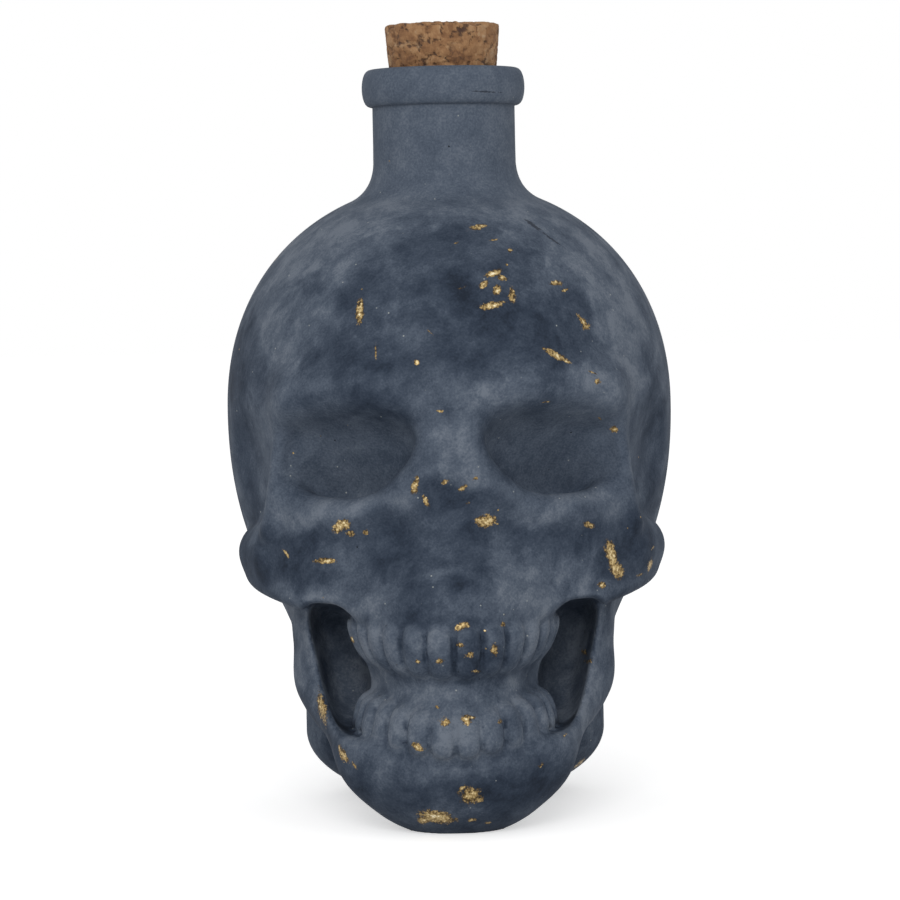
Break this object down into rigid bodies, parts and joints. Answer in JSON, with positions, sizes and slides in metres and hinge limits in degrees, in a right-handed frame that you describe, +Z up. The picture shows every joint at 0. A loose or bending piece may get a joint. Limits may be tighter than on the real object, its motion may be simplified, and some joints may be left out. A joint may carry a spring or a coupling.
{
  "type": "skull bottle",
  "caption": "Skull-shaped bottle with a hollow body, a straight neck with a rounded lip, and a tapered cork that lifts out.",
  "frame": {"origin": "on the resting face, under the neck's axis", "axes": "+Z up along the neck's axis, -Y is the way the skull faces, +X to the right as seen from the front"},
  "size_m": [0.0834, 0.0976, 0.1452],
  "materials": {
    "slate_coat": "matte slate-blue mottled coat with worn gold flecks",
    "cork": "pressed cork granules, matte"
  },
  "bodies": {
    "bottle": {"glass_bottle": "slate_coat"},
    "cork": {"cork_stopper": "cork"}
  },
  "joints": [
    {"name": "cork_lift", "type": "slide", "parent": "bottle", "child": "cork", "axis": [0, 0, 1], "range_m": [0, 0.02]}
  ]
}
